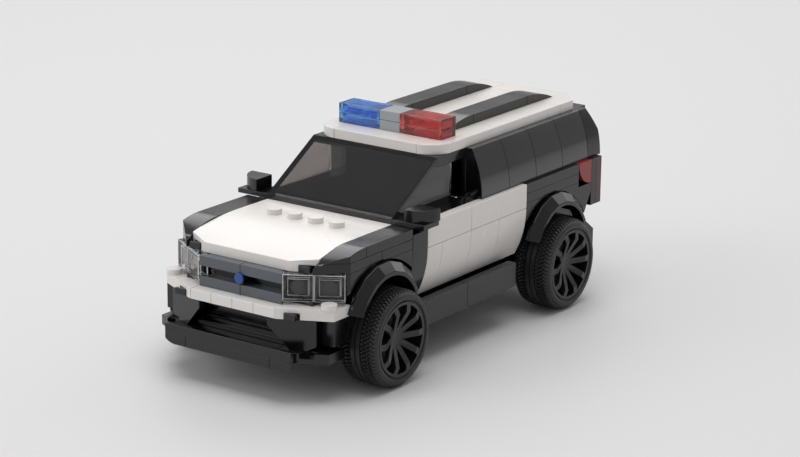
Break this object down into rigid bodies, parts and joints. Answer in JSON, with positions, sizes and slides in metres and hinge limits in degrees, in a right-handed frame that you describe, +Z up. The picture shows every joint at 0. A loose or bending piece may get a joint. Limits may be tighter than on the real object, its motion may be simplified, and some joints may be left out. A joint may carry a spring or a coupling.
{
  "type": "toy brick-built police suv",
  "caption": "Toy police SUV put together from interlocking studded bricks: black and white body, red and blue roof lights, smoked windshield, spoked wheels that turn freely.",
  "frame": {"origin": "on the ground, under the middle of the toy's overall box", "axes": "the front faces -Y, +X is the vehicle's left, +Z up"},
  "size_m": [0.08, 0.1626, 0.0703],
  "materials": {
    "black_plastic": "glossy moulded plastic",
    "white_plastic": "glossy moulded plastic, slightly warm",
    "dark_grey_plastic": "glossy moulded plastic",
    "light_grey_plastic": "glossy moulded plastic",
    "blue_plastic": "glossy moulded plastic",
    "dark_red": "transparent red plastic",
    "clear_blue": "transparent blue plastic",
    "clear_red": "transparent red plastic",
    "clear": "clear plastic",
    "smoke_glass": "smoke-tinted clear plastic",
    "tyre_rubber": "satin soft rubber",
    "wheel_plastic": "satin moulded plastic"
  },
  "bodies": {
    "root": {"arch_flares": "black_plastic", "axle_plates": "black_plastic", "base_plates": "black_plastic", "belt_plates": "black_plastic", "body_walls": "black_plastic", "bumper_corners": "black_plastic", "bumper_tiles": "white_plastic", "bumper_wedges": "white_plastic", "chin_plates": "black_plastic", "cowl": "white_plastic", "door_backing": "black_plastic", "door_posts": "black_plastic", "door_slopes": "white_plastic", "door_tiles": "white_plastic", "emblem_dot": "blue_plastic", "fender_plates": "black_plastic", "fender_slopes": "black_plastic", "fenders": "black_plastic", "floor_tiles": "black_plastic", "front_bar": "black_plastic", "front_bar_tiles": "black_plastic", "front_core": "black_plastic", "grille_core": "black_plastic", "grille_tiles": "dark_grey_plastic", "hatch": "black_plastic", "hatch_glass": "smoke_glass", "headlight_mounts": "black_plastic", "headlights": "clear", "hood": "white_plastic", "hood_base": "black_plastic", "hood_front": "white_plastic", "intake_bars": "black_plastic", "intake_panels": "black_plastic", "light_bar_blue": "clear_blue", "light_bar_grey": "light_grey_plastic", "light_bar_red": "clear_red", "mirror_arms": "black_plastic", "mirrors": "black_plastic", "quarter_plates": "black_plastic", "rear_bumper": "black_plastic", "rear_corners": "black_plastic", "rear_quarters": "black_plastic", "roof_base": "black_plastic", "roof_corners": "white_plastic", "roof_rails": "black_plastic", "roof_tiles": "white_plastic", "sills": "black_plastic", "tail_columns": "black_plastic", "tail_lamps": "dark_red", "tail_lights": "dark_red", "window_slopes": "black_plastic", "windshield": "smoke_glass"},
    "front_left_wheel": {"front_left_tyre": "tyre_rubber", "front_left_rim": "wheel_plastic"},
    "front_right_wheel": {"front_right_tyre": "tyre_rubber", "front_right_rim": "wheel_plastic"},
    "rear_left_wheel": {"rear_left_tyre": "tyre_rubber", "rear_left_rim": "wheel_plastic"},
    "rear_right_wheel": {"rear_right_tyre": "tyre_rubber", "rear_right_rim": "wheel_plastic"}
  },
  "joints": [
    {"name": "front_left_spin", "type": "hinge", "parent": "root", "child": "front_left_wheel", "pos_m": [0.033, -0.0467, 0.0152], "axis": [1, 0, 0], "continuous": true},
    {"name": "front_right_spin", "type": "hinge", "parent": "root", "child": "front_right_wheel", "pos_m": [-0.033, -0.0467, 0.0152], "axis": [1, 0, 0], "continuous": true},
    {"name": "rear_left_spin", "type": "hinge", "parent": "root", "child": "rear_left_wheel", "pos_m": [0.033, 0.0493, 0.0152], "axis": [1, 0, 0], "continuous": true},
    {"name": "rear_right_spin", "type": "hinge", "parent": "root", "child": "rear_right_wheel", "pos_m": [-0.033, 0.0493, 0.0152], "axis": [1, 0, 0], "continuous": true}
  ]
}
